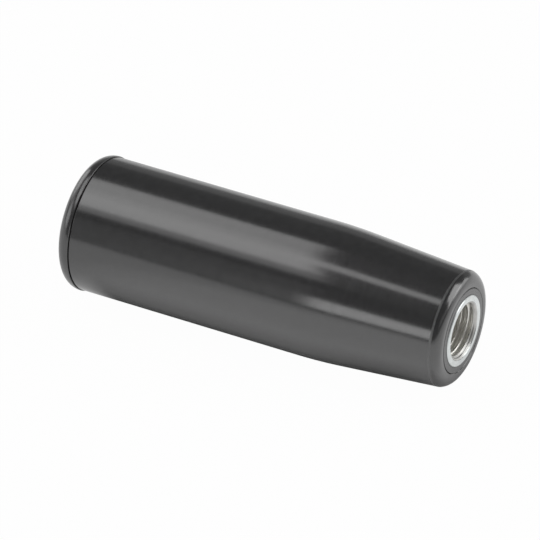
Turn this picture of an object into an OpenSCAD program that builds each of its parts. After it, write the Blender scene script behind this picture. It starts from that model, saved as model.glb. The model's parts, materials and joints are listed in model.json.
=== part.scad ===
// Revolving machine handle: a moulded grip with an end cap turns on a threaded steel spindle.
// Millimetres. The origin is the centre of the spindle's seating face, the handle's axis is X,
// and +X points out of the threaded end.

/* [Grip] */
// Length of the grip with its end cap
grip_len = 85; // [75:0.5:115]
// Diameter of the cylindrical body
body_d = 28; // [26:0.1:34]
// Length of the taper, from the body to the nose
taper_len = 26; // [13:0.5:38]
// Radius that blends the body into the taper
taper_blend = 120; // [20:5:160]
// Diameter of the nose, where the taper ends
nose_d = 24; // [23.2:0.1:25.5]
// Length of the nose, from the front face to the taper
nose_len = 1.8; // [1:0.1:3]
// Fall of the nose's side towards the front, measured on the radius
nose_drop = 0.65; // [0.3:0.05:0.9]
// Radius of the domed nose
nose_round = 2.5; // [0.5:0.1:4]
// Chamfer at the mouth of the front bore
mouth_chamfer = 0.2; // [0.1:0.05:0.7]
// Radius of the body's edge at the end cap's joint
joint_round = 0.35; // [0.1:0.05:1]
// Thickness of the web that carries the rear bearing
web_t = 8.5; // [5:0.5:14]
// Gap round the thrust washer in the rear chamber
chamber_gap = 1; // [0.5:0.1:1.5]

/* [End cap] */
// Length of the cap behind its joint
cap_len = 3.2; // [2.5:0.1:6]
// Radius of the cap's rounded back edge
cap_round = 3; // [0.5:0.1:5]
// Overhang of the cap's rim beyond the body
cap_proud = 0.2; // [0:0.05:0.4]
// Radius of the rim's edge at the joint
cap_edge = 0.15; // [0.05:0.05:0.5]
// Thickness of the cap's end wall
cap_floor = 2.4; // [1.5:0.1:4]
// Length of the spigot that seats in the rear chamber
spigot_len = 5.5; // [3:0.5:10]
// Wall of the hollow spigot
spigot_wall = 1.5; // [1:0.1:3]
// Lead-in chamfer at the spigot's tip
spigot_lead = 0.5; // [0.2:0.1:1]

/* [Spindle] */
// Diameter of the spindle's head
head_d = 14.8; // [14:0.1:16.5]
// Length of the head, from the seating face to the shoulder
head_len = 36.5; // [31:0.5:45]
// Height of the seating face in front of the grip
head_proud = 0.2; // [0.1:0.1:2]
// Chamfer round the seating face
head_chamfer = 0.15; // [0.05:0.05:0.5]
// Diameter of the rear journal
journal_d = 11; // [10:0.1:12]
// Length of the journal behind the retaining ring's groove
tail_len = 2.2; // [1:0.1:5]
// Chamfer at the journal's tail
tail_chamfer = 0.5; // [0.2:0.1:1]
// Nominal diameter of the internal thread
thread_d = 12; // [10:0.5:12.5]
// Pitch of the internal thread
thread_pitch = 1.5; // [1:0.25:1.75]
// Usable depth of the thread
thread_depth = 22; // [10:0.5:25]
// Length of the plain hole beyond the thread
drill_runout = 4; // [2:0.5:6]
// Width of the countersink beyond the thread, measured on the radius
countersink = 0.15; // [0.05:0.05:0.8]
// Width across the flats of the socket in the tail
socket_af = 5; // [3:0.5:6]
// Depth of the socket in the tail
socket_depth = 5; // [3:0.5:8]

/* [Bearings] */
// Wall of the front bush
front_bush_wall = 1.3; // [0.8:0.05:1.5]
// Length of the front bush
front_bush_len = 17; // [8:0.5:24]
// Wall of the rear bush
rear_bush_wall = 1; // [0.7:0.05:1.2]
// Thickness of the rear bush's flange
flange_t = 1; // [0.6:0.1:2]
// Rim of the rear bush's flange beyond the spindle's head
flange_rim = 0.2; // [0.1:0.05:0.4]
// Width of the thrust washer, from the journal to its rim
washer_w = 3; // [2:0.1:3.5]
// Thickness of the thrust washer
washer_t = 1; // [0.5:0.1:2]

/* [Retaining ring] */
// Thickness of the retaining ring
ring_t = 1; // [0.8:0.05:1.5]
// Depth of the ring's groove in the journal
ring_groove = 0.25; // [0.15:0.05:0.4]
// Width of the ring opposite its gap
ring_back_w = 1.8; // [1.4:0.1:2.2]
// Width of the ring beside its lugs
ring_front_w = 1.2; // [0.9:0.1:1.3]
// Reach of the lugs from the ring's inner edge
lug_reach = 3.3; // [2.8:0.1:3.5]
// Diameter of the holes in the lugs
lug_hole_d = 1.5; // [1:0.1:1.6]
// Wall round the holes in the lugs
lug_wall = 0.6; // [0.4:0.1:0.7]
// Width of the gap between the lugs
ring_gap = 2.4; // [1.5:0.1:3]

/* [Fits] */
// Radial clearance of a running fit
run_clear = 0.05; // [0.02:0.01:0.1]
// Radial gap of a seated piece
seat_clear = 0.02; // [0.01:0.01:0.04]
// Axial play at each thrust face
end_play = 0.1; // [0.05:0.05:0.3]
// Radial gap round the rear bush's flange in the grip's bore
relief_gap = 0.2; // [0.1:0.05:0.4]
// Axial gap of the retaining ring in its groove
groove_play = 0.1; // [0.05:0.05:0.2]

/* [Hidden] */
$fn = 96;
HEX = 6;
BLACK_GLOSS = [0.05, 0.05, 0.06];
DARK_GREY = [0.2, 0.2, 0.21];
ZINC = [0.78, 0.8, 0.82];
SPRING_STEEL = [0.26, 0.25, 0.25];
// Depth of an internal ISO metric thread for each unit of pitch, on the diameter
THREAD_HEIGHT = 1.0825;
// Half the point angle of a twist drill
DRILL_HALF_ANGLE = 59;
// How far a cut runs past the face that it opens
OVERCUT = 1;
// Shortest straight edge left beside a rounding
LAND = 0.05;
// How far a rounding's arc piece reaches past its chord, into the profile
ARC_ROOT = 0.05;

// Radii, from the axis outwards
minor_r = (thread_d - THREAD_HEIGHT * thread_pitch) / 2;
countersink_r = thread_d / 2 + countersink;
journal_r = journal_d / 2;
groove_r = journal_r - ring_groove;
rear_bush_r = journal_r + run_clear + rear_bush_wall;
head_r = head_d / 2;
flange_r = head_r + flange_rim;
relief_r = flange_r + relief_gap;
front_bush_r = head_r + run_clear + front_bush_wall;
mouth_r = front_bush_r + seat_clear + mouth_chamfer;
washer_r = journal_r + washer_w;
chamber_r = washer_r + chamber_gap;
spigot_r = chamber_r - seat_clear;
nose_r = nose_d / 2;
body_r = body_d / 2;
cap_r = body_r + cap_proud;

// Places along the axis, from the seating face backwards
front_z = -head_proud;
nose_z = front_z - nose_len;
taper_z = nose_z - taper_len;
seat_end_z = front_z - front_bush_len;
shoulder_z = -head_len;
flange_z = shoulder_z - end_play;
web_z = flange_z - flange_t;
chamber_z = web_z - web_t;
washer_z = chamber_z - end_play;
ring_z = washer_z - washer_t;
groove_end_z = ring_z - ring_t - groove_play;
tail_z = groove_end_z - tail_len;
cap_end_z = front_z - grip_len;
joint_z = cap_end_z + cap_len;
drill_z = -(thread_depth + drill_runout);
drill_tip_z = drill_z - minor_r / tan(DRILL_HALF_ANGLE);

// A corner of a profile is [radius from the axis, place along the axis, rounding].
function place(corner) = [corner[0], corner[1]];
function unit(v) = v / norm(v);
function before(c, i) = unit(place(c[(i + len(c) - 1) % len(c)]) - place(c[i]));
function after(c, i) = unit(place(c[(i + 1) % len(c)]) - place(c[i]));
function half_angle(c, i) = acos(before(c, i) * after(c, i)) / 2;
function bisector(c, i) = unit(before(c, i) + after(c, i));
function arc_centre(c, i) = place(c[i]) + bisector(c, i) * c[i][2] / sin(half_angle(c, i));
function tangent_len(c, i) = c[i][2] / tan(half_angle(c, i));
function arc_ends(c, i) = [
    place(c[i]) + before(c, i) * tangent_len(c, i),
    place(c[i]) + after(c, i) * tangent_len(c, i)
];
function bulges(c, i) = cross(-before(c, i), after(c, i)) > 0;

// The wanted rounding, or the largest that fits a corner with this shorter edge and this turn
function fillet(wanted, edge, turn) = min(wanted, (edge - LAND) / tan(turn / 2));

// The piece of a circle between a rounding's chord and its arc, with a root past the chord
module arc_segment(c, i) {
    ends = arc_ends(c, i);
    tip = place(c[i]) - bisector(c, i) * c[i][2];
    root = bisector(c, i) * ARC_ROOT;
    intersection() {
        translate(arc_centre(c, i)) circle(c[i][2]);
        polygon([ends[0], tip, ends[1], ends[1] + root, ends[0] + root]);
    }
}

// A polygon, listed counterclockwise, whose corners are rounded by true arcs
module rounded_profile(c) {
    indices = [0 : len(c) - 1];
    difference() {
        union() {
            polygon([for (i = indices) each c[i][2] > 0 ? arc_ends(c, i) : [place(c[i])]]);
            for (i = indices) if (c[i][2] > 0 && bulges(c, i)) arc_segment(c, i);
        }
        for (i = indices) if (c[i][2] > 0 && !bulges(c, i)) arc_segment(c, i);
    }
}

// Turns a profile about the handle's axis, which is laid along X
module turned(c) {
    rotate([0, 90, 0]) rotate_extrude() rounded_profile(c);
}

// A sleeve between two radii and two places along the axis
module sleeve(inner_r, outer_r, back_z, front_z) {
    turned([
        [inner_r, back_z, 0],
        [outer_r, back_z, 0],
        [outer_r, front_z, 0],
        [inner_r, front_z, 0]
    ]);
}

// Moulded body: cylinder, taper and domed nose, bored for the front bush, the spindle's head and
// the rear bush, with a chamber behind the web for the washer and the retaining ring
module grip() {
    front_seat_r = front_bush_r + seat_clear;
    taper_edge = norm([body_r - nose_r, taper_len]);
    taper_turn = atan2(body_r - nose_r, taper_len);
    nose_corner_r = nose_r - nose_drop;
    nose_edge = min(norm([nose_drop, nose_len]), nose_corner_r - mouth_r);
    nose_turn = atan2(nose_len, nose_drop);
    color(BLACK_GLOSS) turned([
        [chamber_r, chamber_z, 0],
        [chamber_r, joint_z, 0],
        [body_r, joint_z, joint_round],
        [body_r, taper_z, fillet(taper_blend, taper_edge, taper_turn)],
        [nose_r, nose_z, 0],
        [nose_corner_r, front_z, fillet(nose_round, nose_edge, nose_turn)],
        [mouth_r, front_z, 0],
        [front_seat_r, front_z - mouth_chamfer, 0],
        [front_seat_r, seat_end_z, 0],
        [relief_r, seat_end_z, 0],
        [relief_r, web_z, 0],
        [rear_bush_r + seat_clear, web_z, 0],
        [rear_bush_r + seat_clear, chamber_z, 0]
    ]);
}

// Cap with a rounded back edge, seated by a hollow spigot in the grip's rear chamber
module end_cap() {
    floor_z = cap_end_z + cap_floor;
    tip_z = joint_z + spigot_len;
    color(BLACK_GLOSS) turned([
        [0, cap_end_z, 0],
        [cap_r, cap_end_z, fillet(cap_round, cap_len - cap_edge, 90)],
        [cap_r, joint_z, cap_edge],
        [spigot_r, joint_z, 0],
        [spigot_r, tip_z - spigot_lead, 0],
        [spigot_r - spigot_lead, tip_z, 0],
        [spigot_r - spigot_wall, tip_z, 0],
        [spigot_r - spigot_wall, floor_z, 0],
        [0, floor_z, 0]
    ]);
}

// Steel spindle: head with the tapped hole, shoulder, journal, ring groove and socketed tail
module spindle() {
    color(ZINC) difference() {
        turned([
            [0, tail_z, 0],
            [journal_r - tail_chamfer, tail_z, 0],
            [journal_r, tail_z + tail_chamfer, 0],
            [journal_r, groove_end_z, 0],
            [groove_r, groove_end_z, 0],
            [groove_r, ring_z, 0],
            [journal_r, ring_z, 0],
            [journal_r, shoulder_z, 0],
            [head_r, shoulder_z, 0],
            [head_r, -head_chamfer, 0],
            [head_r - head_chamfer, 0, 0],
            [countersink_r, 0, 0],
            [minor_r, minor_r - countersink_r, 0],
            [minor_r, drill_z, 0],
            [0, drill_tip_z, 0]
        ]);
        rotate([0, 90, 0]) translate([0, 0, tail_z - OVERCUT])
            cylinder(d = socket_af / cos(180 / HEX), h = socket_depth + OVERCUT, $fn = HEX);
    }
}

// Plain bush that carries the spindle's head in the nose
module front_bush() {
    color(DARK_GREY) sleeve(head_r + run_clear, front_bush_r, seat_end_z, front_z);
}

// Flanged bush in the web: it carries the journal and takes the shoulder's thrust
module rear_bush() {
    bore_r = journal_r + run_clear;
    color(DARK_GREY) turned([
        [bore_r, chamber_z, 0],
        [rear_bush_r, chamber_z, 0],
        [rear_bush_r, web_z, 0],
        [flange_r, web_z, 0],
        [flange_r, flange_z, 0],
        [bore_r, flange_z, 0]
    ]);
}

// Washer between the web and the retaining ring
module thrust_washer() {
    color(ZINC) sleeve(journal_r + run_clear, washer_r, ring_z, washer_z);
}

// External retaining ring: an eccentric spring ring, open between two lugs with holes
module retaining_ring() {
    inner_r = groove_r + seat_clear;
    offset_y = (ring_back_w - ring_front_w) / 2;
    outer_r = inner_r + (ring_back_w + ring_front_w) / 2;
    lug_r = lug_hole_d / 2 + lug_wall;
    lug_at = inner_r + lug_reach - lug_r;
    lug_turn = asin((ring_gap / 2 + lug_r) / lug_at);
    color(SPRING_STEEL) rotate([0, 90, 0]) translate([0, 0, ring_z - ring_t])
        linear_extrude(ring_t) difference() {
            union() {
                translate([0, -offset_y]) circle(outer_r);
                for (side = [-1, 1]) rotate(side * lug_turn) {
                    translate([0, lug_at]) circle(lug_r);
                    translate([-lug_r, 0]) square([2 * lug_r, lug_at]);
                }
            }
            circle(inner_r);
            translate([-ring_gap / 2, 0]) square([ring_gap, lug_at + 2 * lug_r]);
            for (side = [-1, 1]) rotate(side * lug_turn)
                translate([0, lug_at]) circle(d = lug_hole_d, $fn = 32);
        }
}

grip();
end_cap();
spindle();
front_bush();
rear_bush();
thrust_washer();
retaining_ring();
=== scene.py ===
"""Looks of a revolving machine handle: a polished black grip that turns on a tapped steel spindle.

The handle's axis is X and its threaded end faces +X. Lengths of the handle are millimetres, and MM
turns them into Blender's metres. A profile is a row of points (x, radius), and every piece is
turned from one.
"""
import json
import math

import bpy
import numpy as np
from mathutils import Matrix, Vector


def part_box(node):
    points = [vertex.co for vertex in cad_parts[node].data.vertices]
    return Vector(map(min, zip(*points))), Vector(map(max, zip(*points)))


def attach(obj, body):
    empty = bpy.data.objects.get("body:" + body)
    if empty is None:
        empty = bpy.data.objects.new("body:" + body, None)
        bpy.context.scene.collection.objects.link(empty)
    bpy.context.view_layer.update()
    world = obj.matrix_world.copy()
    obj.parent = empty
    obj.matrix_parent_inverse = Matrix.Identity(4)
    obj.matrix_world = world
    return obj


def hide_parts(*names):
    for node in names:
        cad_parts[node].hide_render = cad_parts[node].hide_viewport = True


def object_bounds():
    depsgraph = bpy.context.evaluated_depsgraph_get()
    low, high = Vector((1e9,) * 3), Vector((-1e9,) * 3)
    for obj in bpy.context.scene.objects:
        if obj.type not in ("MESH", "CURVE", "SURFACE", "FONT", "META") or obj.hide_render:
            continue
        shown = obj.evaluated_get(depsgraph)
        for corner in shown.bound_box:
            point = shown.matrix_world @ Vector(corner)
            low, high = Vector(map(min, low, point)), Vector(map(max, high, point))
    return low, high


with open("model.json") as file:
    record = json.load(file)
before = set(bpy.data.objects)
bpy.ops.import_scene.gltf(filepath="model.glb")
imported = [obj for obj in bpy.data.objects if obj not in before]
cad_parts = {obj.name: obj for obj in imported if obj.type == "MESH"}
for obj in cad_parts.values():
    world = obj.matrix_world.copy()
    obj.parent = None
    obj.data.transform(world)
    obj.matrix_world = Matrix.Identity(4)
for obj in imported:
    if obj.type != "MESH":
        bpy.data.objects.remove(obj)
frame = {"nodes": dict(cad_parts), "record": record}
cad_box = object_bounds()

MM = 0.001
FULL_TURN = 2 * math.pi


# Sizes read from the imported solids
def reach(node):
    """Back end, front end and largest radius of a node, from its box."""
    low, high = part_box(node)
    return low.x / MM, high.x / MM, high.y / MM


MOUNTS = {mount["name"]: mount for mount in frame["record"]["mounts"]}
GRIP_BACK, GRIP_FRONT, BODY_R = reach("grip")
CAP_BACK, SPIGOT_TIP, CAP_R = reach("end_cap")
TAIL, SEAT_FACE, HEAD_R = reach("spindle")
BUSH_BACK, BUSH_FRONT, BUSH_R = reach("front_bush")
CHAMBER, FLANGE_FACE, _ = reach("rear_bush")
RING_BACK, RING_FRONT, _ = reach("retaining_ring")
THREAD_MINOR_R = MOUNTS["thread"]["dims"]["r_mm"]
PLAIN_HOLE_LEN = MOUNTS["thread"]["dims"]["length_mm"]

# Sizes shared with the part's solids
TAPER_LEN = 26.0
TAPER_BLEND = 120.0
NOSE_R = 12.0
NOSE_LEN = 1.8
NOSE_DROP = 0.65
NOSE_ROUND = 2.5
MOUTH_CHAMFER = 0.2
JOINT_ROUND = 0.35
CHAMBER_R = 9.5
RELIEF_R = 7.8
REAR_SEAT_R = 6.57
WEB_T = 8.5
SEAT_GAP = 0.02
RUN_GAP = 0.05
END_PLAY = 0.1
CAP_ROUND = 3.0
CAP_EDGE = 0.15
CAP_FLOOR = 2.4
SPIGOT_WALL = 1.5
SPIGOT_LEAD = 0.5
HEAD_CHAMFER = 0.15
JOURNAL_R = 5.5
GROOVE_R = 5.25
GROOVE_PLAY = 0.1
TAIL_CHAMFER = 0.5
COUNTERSINK_R = 6.15
THREAD_MAJOR_R = 6.0
THREAD_PITCH = 1.5
THREAD_DEPTH = 22.0
DRILL_HALF_ANGLE = math.radians(59)
SOCKET_AF = 5.0
SOCKET_DEPTH = 5.0
SHOULDER = FLANGE_FACE + END_PLAY
DRILL_DEPTH = PLAIN_HOLE_LEN + COUNTERSINK_R - THREAD_MINOR_R
NOSE_EDGE = GRIP_FRONT - NOSE_LEN

# Softened edges that only the surfaces have
FINE_EDGE = 0.06
EDGE_ROUND = 0.4
CHAMBER_CORNER = 0.3
CHAMBER_MOUTH = 0.2
HOLLOW_CORNER = 0.4
BUSH_EDGE = 0.12

# Thread form, as shares of the pitch, and the tool marks in the countersink
THREAD_START = 0.01
ROOT_FLAT = 1 / 8
CREST_FLAT = 1 / 4
TOOL_FEED = 0.46
TOOL_RING = 0.045

# Fineness of the turned surfaces
AROUND = 216
ARC_STEPS = 12
SUPPORT = 0.03
SUPPORT_SHARE = 0.3
INSET_SHARE = 0.01
SOCKET_RIM = 1.25
COUNTERSINK_LIP = 0.05
NEAR_DEPTH = 5.0
NEAR_STEP = 0.05
FAR_STEP = 0.1


def rounded_outline(corners, closed):
    """Points along straight lines between corners (x, radius, rounding), with arcs at the corners.

    A corner's arc touches both of its lines: its centre lies on their bisector, and its points
    are centre + rounding * (cos a, sin a) with a running evenly from one line to the other. Each
    line also gets a point close to each of its ends, which keeps its shading straight.
    """
    corners = np.asarray(corners, float)
    place, rounding = corners[:, :2], corners[:, 2]
    to_last = np.roll(place, 1, axis=0) - place
    to_next = np.roll(place, -1, axis=0) - place
    to_last /= np.linalg.norm(to_last, axis=1, keepdims=True)
    to_next /= np.linalg.norm(to_next, axis=1, keepdims=True)
    half = np.arccos(np.clip((to_last * to_next).sum(1), -1, 1)) / 2
    if not closed:
        rounding[[0, -1]] = 0
    tangent = np.where(rounding > 0, rounding / np.tan(half), 0)
    stretches = []
    for i, corner in enumerate(place):
        if rounding[i] == 0:
            stretches.append(corner[None])
            continue
        bisector = to_last[i] + to_next[i]
        centre = corner + bisector / np.linalg.norm(bisector) * rounding[i] / math.sin(half[i])
        spokes = corner + tangent[i] * np.array([to_last[i], to_next[i]]) - centre
        start, end = np.arctan2(spokes[:, 1], spokes[:, 0])
        sweep = (end - start + math.pi) % FULL_TURN - math.pi
        angles = start + sweep * np.linspace(0, 1, ARC_STEPS + 1)
        stretches.append(centre + rounding[i] * np.stack([np.cos(angles), np.sin(angles)], 1))
    points = []
    count = len(stretches)
    for i in range(count if closed else count - 1):
        begin, finish = stretches[i][-1], stretches[(i + 1) % count][0]
        length = np.linalg.norm(finish - begin)
        share = min(SUPPORT / max(length, SUPPORT), SUPPORT_SHARE)
        points.append(stretches[i])
        points.append(begin + (finish - begin) * np.array([[share], [1 - share]]))
    if not closed:
        points.append(stretches[-1])
    return np.concatenate(points)


def turned_mesh(name, x, radius, closed):
    """Mesh of the surface (x, r sin u, r cos u), with u once round the axis.

    x and radius hold one row for each place on the profile; radius may vary along u. A closed
    profile joins its last row to its first. An open one starts and ends on the axis, where a fan
    of triangles round one point closes it.
    """
    u = np.arange(AROUND) * (FULL_TURN / AROUND)
    radius = np.broadcast_to(np.reshape(radius, (len(x), -1)), (len(x), AROUND))
    along = np.broadcast_to(np.reshape(x, (len(x), -1)), radius.shape)
    grid = np.stack([along, radius * np.sin(u), radius * np.cos(u)], axis=2)
    rings = grid if closed else grid[1:-1]
    vertices = rings.reshape(-1, 3)
    rows = len(rings)
    index = np.arange(rows * AROUND).reshape(rows, AROUND)
    here = index if closed else index[:-1]
    there = np.roll(index, -1, axis=0) if closed else index[1:]
    beside_here = np.roll(here, -1, axis=1)
    beside_there = np.roll(there, -1, axis=1)
    quads = np.stack([here, there, beside_there, beside_here], axis=2).reshape(-1, 4)
    fans = np.zeros((0, 3), int)
    if not closed:
        first, last = len(vertices), len(vertices) + 1
        vertices = np.concatenate([vertices, grid[0, :1], grid[-1, :1]])
        side, other = index[0], index[-1]
        fans = np.concatenate([
            np.stack([np.full(AROUND, first), side, np.roll(side, -1)], axis=1),
            np.stack([np.full(AROUND, last), np.roll(other, -1), other], axis=1),
        ])
    return filled_mesh(name, vertices * MM, quads, fans)


def filled_mesh(name, vertices, quads, fans):
    """Smooth-shaded mesh from arrays of corners and faces, turned outwards.

    The signed volume is the sum over triangles of a . (b x c) / 6, and a negative one means that
    the faces point inwards, so their order is reversed.
    """
    triangles = np.concatenate([quads[:, [0, 1, 2]], quads[:, [0, 2, 3]], fans])
    a, b, c = (vertices[triangles[:, k]] for k in range(3))
    if (a * np.cross(b, c)).sum() < 0:
        quads, fans = quads[:, ::-1], fans[:, ::-1]
    mesh = bpy.data.meshes.new(name)
    mesh.vertices.add(len(vertices))
    mesh.vertices.foreach_set("co", vertices.ravel())
    mesh.loops.add(quads.size + fans.size)
    mesh.loops.foreach_set("vertex_index", np.concatenate([quads.ravel(), fans.ravel()]))
    mesh.polygons.add(len(quads) + len(fans))
    starts = np.concatenate([np.arange(len(quads)) * 4, quads.size + np.arange(len(fans)) * 3])
    mesh.polygons.foreach_set("loop_start", starts)
    mesh.polygons.foreach_set("use_smooth", np.ones(len(starts), bool))
    mesh.update(calc_edges=True)
    mesh.validate()
    return mesh


def add_piece(mesh, material, body, node):
    """Object at the origin that rides on a body and stands for a node of the solids."""
    piece = bpy.data.objects.new(mesh.name, mesh)
    bpy.context.scene.collection.objects.link(piece)
    mesh.materials.append(material)
    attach(piece, body)
    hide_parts(node)


# Pieces
def grip_mesh():
    """Grip: body, taper and domed nose outside, and the stepped bore inside.

    The closed profile of straight lines and arcs is turned once round the axis.
    """
    seat_r = BUSH_R + SEAT_GAP
    web = CHAMBER + WEB_T
    outline = rounded_outline([
        (CHAMBER, CHAMBER_R, CHAMBER_CORNER),
        (GRIP_BACK, CHAMBER_R, CHAMBER_MOUTH),
        (GRIP_BACK, BODY_R, JOINT_ROUND),
        (NOSE_EDGE - TAPER_LEN, BODY_R, TAPER_BLEND),
        (NOSE_EDGE, NOSE_R, EDGE_ROUND),
        (GRIP_FRONT, NOSE_R - NOSE_DROP, NOSE_ROUND),
        (GRIP_FRONT, seat_r + MOUTH_CHAMFER, FINE_EDGE),
        (GRIP_FRONT - MOUTH_CHAMFER, seat_r, FINE_EDGE),
        (BUSH_BACK, seat_r, FINE_EDGE),
        (BUSH_BACK, RELIEF_R, FINE_EDGE),
        (web, RELIEF_R, FINE_EDGE),
        (web, REAR_SEAT_R, FINE_EDGE),
        (CHAMBER, REAR_SEAT_R, FINE_EDGE),
    ], closed=True)
    return turned_mesh("grip_moulding", outline[:, 0], outline[:, 1], closed=True)


def end_cap_mesh():
    """End cap: flat back, rounded rim and the hollow spigot that seats in the grip.

    The profile starts and ends on the axis and is turned once round it.
    """
    spigot_r = CHAMBER_R - SEAT_GAP
    hollow_r = spigot_r - SPIGOT_WALL
    outline = rounded_outline([
        (CAP_BACK, 0, 0),
        (CAP_BACK, CAP_R, CAP_ROUND),
        (GRIP_BACK, CAP_R, CAP_EDGE),
        (GRIP_BACK, spigot_r, FINE_EDGE),
        (SPIGOT_TIP - SPIGOT_LEAD, spigot_r, FINE_EDGE),
        (SPIGOT_TIP, spigot_r - SPIGOT_LEAD, FINE_EDGE),
        (SPIGOT_TIP, hollow_r, FINE_EDGE),
        (CAP_BACK + CAP_FLOOR, hollow_r, HOLLOW_CORNER),
        (CAP_BACK + CAP_FLOOR, 0, 0),
    ], closed=False)
    return turned_mesh("end_cap_moulding", outline[:, 0], outline[:, 1], closed=False)


def front_bush_mesh():
    """Front bush: a plain sleeve with softened edges, a rectangle turned once round the axis."""
    bore_r = HEAD_R + RUN_GAP
    outline = rounded_outline([
        (BUSH_BACK, bore_r, FINE_EDGE),
        (BUSH_BACK, BUSH_R, FINE_EDGE),
        (BUSH_FRONT, BUSH_R, BUSH_EDGE),
        (BUSH_FRONT, bore_r, FINE_EDGE),
    ], closed=True)
    return turned_mesh("front_bush_sleeve", outline[:, 0], outline[:, 1], closed=True)


def thread_radius(depth, turn):
    """Radius of the tapped hole at a depth behind the face and an angle round the axis.

    The groove is a trapezoid that climbs one pitch a turn: an eighth of the pitch is flat at the
    major radius, a quarter is flat at the minor radius, and 30 degree flanks join them. It fades
    out over the last pitch, and the countersink's cone is wider near the mouth. Fine rings, a
    sine of the depth, stand for the countersink's tool marks.
    """
    phase = (depth / THREAD_PITCH - turn / FULL_TURN + THREAD_START) % 1
    off_groove = np.abs(phase - 0.5)
    mouth_half = (1 - CREST_FLAT) / 2
    flank = mouth_half - ROOT_FLAT / 2
    cut = np.clip((mouth_half - off_groove) / flank, 0, 1)
    cut = cut * np.clip((THREAD_DEPTH - depth) / THREAD_PITCH, 0, 1)
    groove = THREAD_MINOR_R + (THREAD_MAJOR_R - THREAD_MINOR_R) * cut
    rings = TOOL_RING * np.sin(FULL_TURN * depth / TOOL_FEED)
    return np.maximum(groove, COUNTERSINK_R - depth + rings)


def spindle_mesh():
    """Spindle: socketed tail, journal, groove and head outside, and the tapped hole inside.

    The socket's radius is half its width across flats over cos(angle from a flat's middle). The
    tapped hole is a height field: rows at even depths, closer near the mouth, with the radius
    from thread_radius(). A drill's cone closes it.
    """
    turn = np.arange(AROUND) * (FULL_TURN / AROUND)
    hexagon = SOCKET_AF / 2 / np.cos((turn % (math.pi / 3)) - math.pi / 6)
    floor = TAIL + SOCKET_DEPTH
    socket_x = np.array([floor, floor, floor, floor - SUPPORT, TAIL + SUPPORT, TAIL])
    socket_r = np.outer([0, 0.5, 1 - INSET_SHARE, 1, 1, 1 + INSET_SHARE], hexagon)
    outside = rounded_outline([
        (TAIL, SOCKET_AF / 2 * SOCKET_RIM, 0),
        (TAIL, JOURNAL_R - TAIL_CHAMFER, FINE_EDGE),
        (TAIL + TAIL_CHAMFER, JOURNAL_R, FINE_EDGE),
        (RING_BACK - GROOVE_PLAY, JOURNAL_R, FINE_EDGE),
        (RING_BACK - GROOVE_PLAY, GROOVE_R, FINE_EDGE),
        (RING_FRONT, GROOVE_R, FINE_EDGE),
        (RING_FRONT, JOURNAL_R, FINE_EDGE),
        (SHOULDER, JOURNAL_R, FINE_EDGE),
        (SHOULDER, HEAD_R, FINE_EDGE),
        (SEAT_FACE - HEAD_CHAMFER, HEAD_R, FINE_EDGE),
        (SEAT_FACE, HEAD_R - HEAD_CHAMFER, FINE_EDGE),
        (SEAT_FACE, COUNTERSINK_R + COUNTERSINK_LIP, 0),
    ], closed=False)
    near = np.arange(0, NEAR_DEPTH, NEAR_STEP)
    far = np.arange(NEAR_DEPTH, THREAD_DEPTH + FAR_STEP, FAR_STEP)
    depth = np.concatenate([near, far])
    wall_r = thread_radius(depth[:, None], turn[None])
    tip = DRILL_DEPTH + THREAD_MINOR_R / math.tan(DRILL_HALF_ANGLE)
    bottom = np.array([DRILL_DEPTH - SUPPORT, DRILL_DEPTH, DRILL_DEPTH + SUPPORT, tip])
    bottom_r = np.array([1, 1, 1 - INSET_SHARE, 0]) * THREAD_MINOR_R
    rows_x = np.concatenate([socket_x, outside[:, 0], SEAT_FACE - depth, SEAT_FACE - bottom])
    rows_r = np.concatenate([
        socket_r,
        np.repeat(outside[:, 1:], AROUND, axis=1),
        wall_r,
        np.repeat(bottom_r[:, None], AROUND, axis=1),
    ])
    return turned_mesh("tapped_spindle", rows_x, rows_r, closed=False)


# Finishes: a pair of colours or roughnesses lies at the low and the high end of a noise
NOISE_LOW = 0.3
NOISE_HIGH = 0.7
BLACK_TINTS = (0.015, 0.015, 0.0155), (0.030, 0.030, 0.031)
GRIP_ROUGHNESS = 0.14, 0.21
CAP_ROUGHNESS = 0.17, 0.24
# Parting band at the nose's edge: a trimmed line with duller roughness, coloured lighter grey as a
# painted highlight
PARTING_HIGHLIGHT_HALF = 0.27
PARTING_HIGHLIGHT_TINTS = (0.04, 0.04, 0.041), (0.10, 0.10, 0.101)
PARTING_ROUGHNESS = 0.36, 0.5
BUSH_TINTS = (0.028, 0.028, 0.029), (0.040, 0.040, 0.041)
BUSH_ROUGHNESS = 0.22, 0.34
ZINC_TINTS = (0.61, 0.64, 0.635), (0.72, 0.745, 0.74)
WASHER_TINTS = (0.58, 0.61, 0.64), (0.70, 0.72, 0.74)
ZINC_ROUGHNESS = 0.2, 0.36
# Inside the hole: the tapped hole's lighter, warmer tint is painted light, and the countersink's
# darker grey is painted shade
BORE_PAINTED_LIGHT_TINTS = (0.85, 0.84, 0.80), (0.94, 0.93, 0.89)
BORE_ROUGHNESS = 0.29, 0.43
COUNTERSINK_PAINTED_SHADE_TINTS = (0.40, 0.40, 0.385), (0.54, 0.535, 0.515)
COUNTERSINK_DEPTHS = 0.7, 1.1
PHOSPHATE_TINTS = (0.045, 0.043, 0.042), (0.095, 0.092, 0.09)
PHOSPHATE_ROUGHNESS = 0.45, 0.62

# Depths of the finishes' relief
PEEL_DEPTH = 0.004
BUFFING_DEPTH = 0.0006
BUSH_GRAIN_DEPTH = 0.002
TURNING_DEPTH = 0.006
PHOSPHATE_DEPTH = 0.003

# Places of the two inputs and the output among a Mix node's sockets
MIX_SOCKETS = {"FLOAT": (2, 3, 0), "RGBA": (6, 7, 2)}


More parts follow.
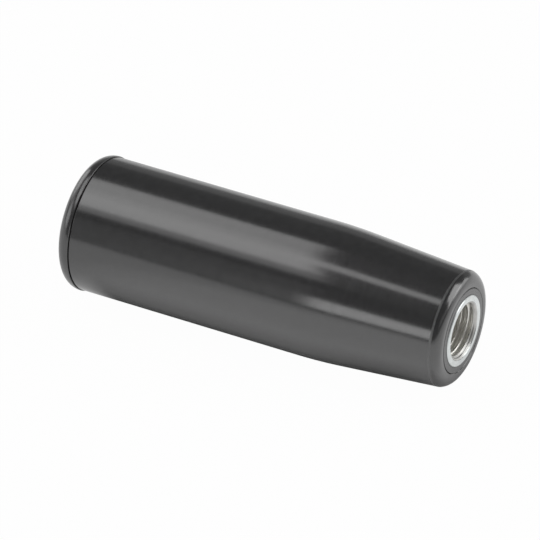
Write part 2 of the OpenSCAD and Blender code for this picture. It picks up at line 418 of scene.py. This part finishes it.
class Finish:
    """A material's node tree, with short ways to add nodes and to wire them."""

    def __init__(self, name):
        self.material = bpy.data.materials.new(name)
        self.material.use_nodes = True
        self.tree = self.material.node_tree
        self.shader = self.tree.nodes["Principled BSDF"]

    def node(self, kind, **settings):
        """Adds a node of a kind, with its settings."""
        made = self.tree.nodes.new(kind)
        for key, value in settings.items():
            setattr(made, key, value)
        return made

    def wire(self, source, target):
        """Joins an output to an input."""
        self.tree.links.new(source, target)

    def set(self, **sockets):
        """Sets values of the shader's own sockets, named with underscores for spaces."""
        for name, value in sockets.items():
            self.shader.inputs[name.replace("_", " ")].default_value = value

    def calculate(self, operation, *values):
        """Result of a Math node over outputs and plain numbers."""
        made = self.node("ShaderNodeMath", operation=operation)
        for socket, value in zip(made.inputs, values):
            if isinstance(value, bpy.types.NodeSocket):
                self.wire(value, socket)
            else:
                socket.default_value = value
        return made.outputs[0]

    def position(self, scale=(1, 1, 1)):
        """Object coordinates in millimetres, times a scale along each axis."""
        coordinates = self.node("ShaderNodeTexCoord")
        mapping = self.node("ShaderNodeMapping")
        mapping.inputs["Scale"].default_value = Vector(scale) / MM
        self.wire(coordinates.outputs["Object"], mapping.inputs["Vector"])
        return mapping.outputs["Vector"]

    def along_and_out(self, scale=1):
        """Place along the axis and distance from it, both times a scale: rings on turned metal."""
        split = self.node("ShaderNodeSeparateXYZ")
        self.wire(self.position(), split.inputs[0])
        flat = self.node("ShaderNodeCombineXYZ")
        self.wire(split.outputs["Y"], flat.inputs["Y"])
        self.wire(split.outputs["Z"], flat.inputs["Z"])
        out = self.node("ShaderNodeVectorMath", operation="LENGTH")
        self.wire(flat.outputs[0], out.inputs[0])
        both = self.node("ShaderNodeCombineXYZ")
        self.wire(split.outputs["X"], both.inputs["X"])
        self.wire(out.outputs["Value"], both.inputs["Y"])
        scaled = self.node("ShaderNodeVectorMath", operation="MULTIPLY")
        scaled.inputs[1].default_value = (scale, scale, 0)
        self.wire(both.outputs[0], scaled.inputs[0])
        return scaled.outputs["Vector"]

    def ramp(self, value, start, end, low=0.0, high=1.0):
        """Smooth rise of a value from low at its start to high at its end."""
        rise = self.node("ShaderNodeMapRange", interpolation_type="SMOOTHSTEP")
        rise.inputs["From Min"].default_value = start
        rise.inputs["From Max"].default_value = end
        rise.inputs["To Min"].default_value = low
        rise.inputs["To Max"].default_value = high
        self.wire(value, rise.inputs["Value"])
        return rise.outputs["Result"]

    def distance(self, vector, axis, place):
        """How far a vector's coordinate is from a place on its axis."""
        split = self.node("ShaderNodeSeparateXYZ")
        self.wire(vector, split.inputs[0])
        return self.calculate("ABSOLUTE", self.calculate("SUBTRACT", split.outputs[axis], place))

    def blend(self, kind, factor, first, second):
        """Mix of two outputs of one kind, FLOAT or RGBA, by a factor: 0 is the first."""
        mix = self.node("ShaderNodeMix", data_type=kind)
        first_place, second_place, result_place = MIX_SOCKETS[kind]
        self.wire(factor, mix.inputs["Factor"])
        self.wire(first, mix.inputs[first_place])
        self.wire(second, mix.inputs[second_place])
        return mix.outputs[result_place]

    def noise(self, vector, detail, roughness=0.5):
        """Noise over a vector; its features are about as large as the vector's unit."""
        texture = self.node("ShaderNodeTexNoise")
        texture.inputs["Scale"].default_value = 1.0
        texture.inputs["Detail"].default_value = detail
        texture.inputs["Roughness"].default_value = roughness
        self.wire(vector, texture.inputs["Vector"])
        return texture.outputs["Fac"]

    def spread(self, factor, low, high):
        """A noise, which runs from about 0.3 to 0.7, mapped onto low to high."""
        return self.ramp(factor, NOISE_LOW, NOISE_HIGH, low, high)

    def tint(self, factor, first, second):
        """Colour between two colours by a noise, which runs from about 0.3 to 0.7."""
        ramp = self.node("ShaderNodeValToRGB")
        ramp.color_ramp.elements[0].position = NOISE_LOW
        ramp.color_ramp.elements[0].color = (*first, 1)
        ramp.color_ramp.elements[1].position = NOISE_HIGH
        ramp.color_ramp.elements[1].color = (*second, 1)
        self.wire(factor, ramp.inputs["Fac"])
        return ramp.outputs["Color"]

    def paint(self, colour, roughness):
        """Sends a colour and a roughness to the shader."""
        self.wire(colour, self.shader.inputs["Base Color"])
        self.wire(roughness, self.shader.inputs["Roughness"])

    def bump(self, *layers):
        """Chains bump layers, each (height factor, depth in millimetres), into the normal."""
        normal = None
        for height, depth in layers:
            layer = self.node("ShaderNodeBump")
            layer.inputs["Distance"].default_value = depth * MM
            self.wire(height, layer.inputs["Height"])
            if normal is not None:
                self.wire(normal, layer.inputs["Normal"])
            normal = layer.outputs["Normal"]
        self.wire(normal, self.shader.inputs["Normal"])


def polished_thermoset(name, roughness):
    """Black moulding, buffed to a gloss: faint mottle, orange peel, fine buffing lines, and a
    dull hairline where the mould's parting was trimmed at the nose's edge, coloured lighter grey as a
    painted highlight along that edge.
    """
    finish = Finish(name)
    mottle = finish.noise(finish.position(scale=(0.6, 0.6, 0.6)), detail=5, roughness=0.7)
    peel = finish.noise(finish.position(scale=(0.5, 0.5, 0.5)), detail=1)
    buffing = finish.noise(finish.position(scale=(9, 0.35, 0.35)), detail=2)
    trimmed = finish.noise(finish.position(scale=(2, 2, 2)), detail=3)
    # The band's lighter grey is a painted highlight along the edge; its duller roughness is the
    # trimmed line
    off_line = finish.distance(finish.position(), "X", NOSE_EDGE)
    off_parting_highlight = finish.ramp(off_line, PARTING_HIGHLIGHT_HALF / 2, PARTING_HIGHLIGHT_HALF)
    black = finish.tint(mottle, *BLACK_TINTS)
    parting_highlight = finish.tint(trimmed, *PARTING_HIGHLIGHT_TINTS)
    gloss = finish.spread(buffing, *roughness)
    dull = finish.spread(trimmed, *PARTING_ROUGHNESS)
    finish.paint(finish.blend("RGBA", off_parting_highlight, parting_highlight, black),
                 finish.blend("FLOAT", off_parting_highlight, dull, gloss))
    finish.bump((peel, PEEL_DEPTH), (buffing, BUFFING_DEPTH))
    finish.set(IOR=1.6, Specular_IOR_Level=1.0)
    return finish.material


def bearing_polymer():
    """Dark grey bush polymer: a soft shine and a fine grain."""
    finish = Finish("dark grey bearing polymer")
    grain = finish.noise(finish.position(scale=(6, 6, 6)), detail=4)
    finish.paint(finish.tint(grain, *BUSH_TINTS), finish.spread(grain, *BUSH_ROUGHNESS))
    finish.bump((grain, BUSH_GRAIN_DEPTH))
    finish.set(IOR=1.6, Specular_IOR_Level=0.85)
    return finish.material


def bright_zinc(name, tints):
    """Turned steel under bright zinc: tool rings and a little cloudiness, and cool outside. The
    countersink has a darker grey that is painted shade, and the tapped hole a warmer, lighter tint
    that is painted light, with duller roughness there.
    """
    finish = Finish(name)
    rings = finish.noise(finish.along_and_out(scale=5.5), detail=3)
    cloud = finish.noise(finish.position(scale=(0.6, 0.6, 0.6)), detail=4)
    place = finish.along_and_out()
    outside = finish.ramp(finish.distance(place, "Y", 0), THREAD_MAJOR_R, COUNTERSINK_R)
    # Painted shade in the countersink, giving way with depth to painted light in the tapped hole
    deep = finish.ramp(finish.distance(place, "X", SEAT_FACE), *COUNTERSINK_DEPTHS)
    countersink_painted_shade = finish.tint(cloud, *COUNTERSINK_PAINTED_SHADE_TINTS)
    bore_painted_light = finish.tint(cloud, *BORE_PAINTED_LIGHT_TINTS)
    hole_painted_light_and_shade = finish.blend("RGBA", deep, countersink_painted_shade, bore_painted_light)
    plate_tint = finish.tint(cloud, *tints)
    hole_roughness = finish.spread(rings, *BORE_ROUGHNESS)
    plate_roughness = finish.spread(rings, *ZINC_ROUGHNESS)
    finish.paint(finish.blend("RGBA", outside, hole_painted_light_and_shade, plate_tint),
                 finish.blend("FLOAT", outside, hole_roughness, plate_roughness))
    finish.bump((rings, TURNING_DEPTH))
    finish.set(Metallic=1.0)
    return finish.material


def phosphated_spring_steel():
    """Dark spring steel with the fine, uneven grain of a phosphate coat."""
    finish = Finish("phosphated spring steel")
    grain = finish.noise(finish.position(scale=(5, 5, 5)), detail=5, roughness=0.6)
    finish.paint(finish.tint(grain, *PHOSPHATE_TINTS), finish.spread(grain, *PHOSPHATE_ROUGHNESS))
    finish.bump((grain, PHOSPHATE_DEPTH))
    finish.set(Metallic=0.6)
    return finish.material


# Floor, whose half width is metres, and its glow with painted shade, whose places and widths are
# millimetres
FLOOR_HALF = 4.0
FLOOR_GLOW_SEEN = 0.98
FLOOR_GLOW_MIRRORED = 0.95
# Painted shade in the mirrored glow: its width beside the handle, its middle and reach along it, and
# the dimming behind the rear end
PAINTED_CONTACT_SHADE = 6.0, 24.0
PAINTED_SHADE_MIDDLE = -38.0
PAINTED_END_SHADE = 36.0, 46.0
PAINTED_REAR_FADE = 68.0, 98.0
PAINTED_REAR_GLOW = 0.56


def studio_white():
    """Pale floor: white to the camera, with a faint soft shadow. In reflections it glows, except in a
    painted shade under the handle, and a painted dimming lowers the glow behind the handle's rear
    end.
    """
    finish = Finish("studio white")
    finish.set(Base_Color=(0.9, 0.9, 0.9, 1), Roughness=0.9, Specular_IOR_Level=0.0)
    paths = finish.node("ShaderNodeLightPath").outputs
    seen = finish.calculate("MULTIPLY", paths["Is Camera Ray"], FLOOR_GLOW_SEEN)
    mirrored = finish.calculate("MAXIMUM", paths["Is Glossy Ray"], paths["Is Transmission Ray"])
    place = finish.position()
    # Painted shade: the mirrored glow dims under the handle, near its ends, and behind its rear end
    beside = finish.ramp(finish.distance(place, "Y", 0), *PAINTED_CONTACT_SHADE)
    beyond = finish.ramp(finish.distance(place, "X", PAINTED_SHADE_MIDDLE), *PAINTED_END_SHADE)
    level = finish.ramp(finish.distance(place, "X", GRIP_FRONT), *PAINTED_REAR_FADE,
                        low=FLOOR_GLOW_MIRRORED, high=FLOOR_GLOW_MIRRORED * PAINTED_REAR_GLOW)
    glow_with_painted_shade = finish.calculate("MULTIPLY", finish.calculate("MAXIMUM", beside, beyond), level)
    share = finish.calculate("MULTIPLY_ADD", mirrored, glow_with_painted_shade, seen)
    glow = finish.node("ShaderNodeEmission")
    mixed = finish.node("ShaderNodeMixShader")
    finish.wire(share, mixed.inputs["Fac"])
    finish.wire(finish.shader.outputs[0], mixed.inputs[1])
    finish.wire(glow.outputs[0], mixed.inputs[2])
    finish.wire(mixed.outputs[0], finish.tree.nodes["Material Output"].inputs["Surface"])
    return finish.material


def lay_floor():
    """Flat floor under the handle's lowest line: a square of one face."""
    low = cad_box[0][2]
    corners = [(x * FLOOR_HALF, y * FLOOR_HALF, low) for x, y in ((-1, -1), (1, -1), (1, 1), (-1, 1))]
    mesh = bpy.data.meshes.new("floor")
    mesh.from_pydata(corners, [], [(0, 1, 2, 3)])
    mesh.materials.append(studio_white())
    floor = bpy.data.objects.new("floor", mesh)
    bpy.context.scene.collection.objects.link(floor)


# Lamps, each with its name, place, the point it faces, its size and its power; lengths are metres
LAMPS = (
    ("left near softbox", (-0.42, -0.238, 0.592), (-0.42, -0.238, 0), (0.377, 0.257), 0.543),
    ("left middle softbox", (-0.42, -0.06, 0.592), (-0.42, -0.06, 0), (0.377, 0.1), 0.187),
    ("left far softbox", (-0.42, 0.1075, 0.592), (-0.42, 0.1075, 0), (0.377, 0.235), 0.379),
    ("left feather", (-0.42, -0.442, 0.592), (-0.42, -0.442, 0), (0.377, 0.151), 0.125),
    ("overhead strip", (-0.14, -0.142, 0.592), (-0.14, -0.142, 0), (0.711, 0.108), 0.34),
    ("left far card", (-1.2, 0.55, 0.43), (0, 0.55, 0.43), (0.7, 0.7), 2.3),
    ("left card", (-1.2, -0.015, 0.45), (0, -0.015, 0.45), (0.43, 0.6), 0.405),
    ("left near card", (-1.2, -0.585, 0.395), (0, -0.585, 0.395), (0.71, 0.65), 1.9),
    ("back card", (-0.3, 1.1, 0.22), (-0.3, 0, 0.22), (1.6, 0.44), 0.33),
    ("right softbox", (0.625, 0.366, 0.431), (0, 0, 0), (0.538, 0.668), 2.5),
    ("right low card", (0.82, 0.88, 0.16), (0, 0, 0.16), (0.8, 0.32), 1.3),
    ("right card", (0.969, -0.129, 0.291), (0, -0.129, 0.291), (0.70, 0.248), 0.16),
    ("front left card", (-0.5, -0.969, 0.39), (-0.5, 0, 0.39), (0.28, 0.74), 0.1),
    ("front card", (-0.022, -0.969, 0.226), (-0.022, 0, 0.226), (0.668, 0.291), 1.09),
)
WORLD_GREY = 0.14


def add_softbox(name, place, aim, size, power):
    """Rectangular area lamp at a place, turned to face a point."""
    lamp = bpy.data.lights.new(name, "AREA")
    lamp.shape = "RECTANGLE"
    lamp.size, lamp.size_y = size
    lamp.energy = power
    lamp_object = bpy.data.objects.new(name, lamp)
    bpy.context.scene.collection.objects.link(lamp_object)
    turn = (Vector(aim) - Vector(place)).to_track_quat("-Z", "Y").to_matrix().to_4x4()
    lamp_object.matrix_world = Matrix.Translation(place) @ turn


def light_world():
    """Even dim grey all round, which the black gloss mirrors between the lamps."""
    world = bpy.data.worlds.new("studio")
    world.use_nodes = True
    background = world.node_tree.nodes["Background"]
    background.inputs["Color"].default_value = (WORLD_GREY, WORLD_GREY, WORLD_GREY, 1)
    bpy.context.scene.world = world


# Camera; lengths are millimetres, apart from the clip, which is metres
IMAGE_PIXELS = 540
CAMERA_AZIMUTH = math.radians(27.71)
CAMERA_ELEVATION = math.radians(34.36)
CAMERA_DISTANCE = 1108.0
PIXELS_PER_MM = 4.989
AIM_ALONG = -42.95
AIM_RIGHT = -0.327
AIM_UP = 0.838
SENSOR = 36.0
CLIP_END = 20.0


def place_camera():
    """Long lens at the photograph's angle: it looks at a point near the handle's middle."""
    sin_a, cos_a = math.sin(CAMERA_AZIMUTH), math.cos(CAMERA_AZIMUTH)
    sin_e, cos_e = math.sin(CAMERA_ELEVATION), math.cos(CAMERA_ELEVATION)
    back = Vector((cos_e * sin_a, -cos_e * cos_a, sin_e))
    right = Vector((cos_a, sin_a, 0))
    up = back.cross(right)
    aim = Vector((AIM_ALONG, 0, 0)) + right * AIM_RIGHT + up * AIM_UP
    lens = bpy.data.cameras.new("camera")
    lens.sensor_width = SENSOR
    lens.lens = SENSOR * PIXELS_PER_MM * CAMERA_DISTANCE / IMAGE_PIXELS
    lens.clip_end = CLIP_END
    camera = bpy.data.objects.new("camera", lens)
    bpy.context.scene.collection.objects.link(camera)
    turn = Matrix((right, up, back)).transposed().to_4x4()
    camera.matrix_world = Matrix.Translation((aim + back * CAMERA_DISTANCE) * MM) @ turn
    bpy.context.scene.camera = camera


# Studio
bpy.context.scene.view_settings.view_transform = "Standard"
place_camera()
lay_floor()
light_world()
for lamp_values in LAMPS:
    add_softbox(*lamp_values)

# Handle
black_grip = polished_thermoset("black thermoset", GRIP_ROUGHNESS)
black_cap = polished_thermoset("black cap", CAP_ROUGHNESS)
bush_grey = bearing_polymer()
zinc = bright_zinc("bright zinc plate", ZINC_TINTS)
add_piece(grip_mesh(), black_grip, "grip", "grip")
add_piece(end_cap_mesh(), black_cap, "grip", "end_cap")
add_piece(front_bush_mesh(), bush_grey, "grip", "front_bush")
add_piece(spindle_mesh(), zinc, "spindle", "spindle")
CAD_FINISHES = {
    "rear_bush": bush_grey,
    "thrust_washer": bright_zinc("zinc washer", WASHER_TINTS),
    "retaining_ring": phosphated_spring_steel(),
}
for node, material in CAD_FINISHES.items():
    slots = frame["nodes"][node].data.materials
    slots.clear()
    slots.append(material)
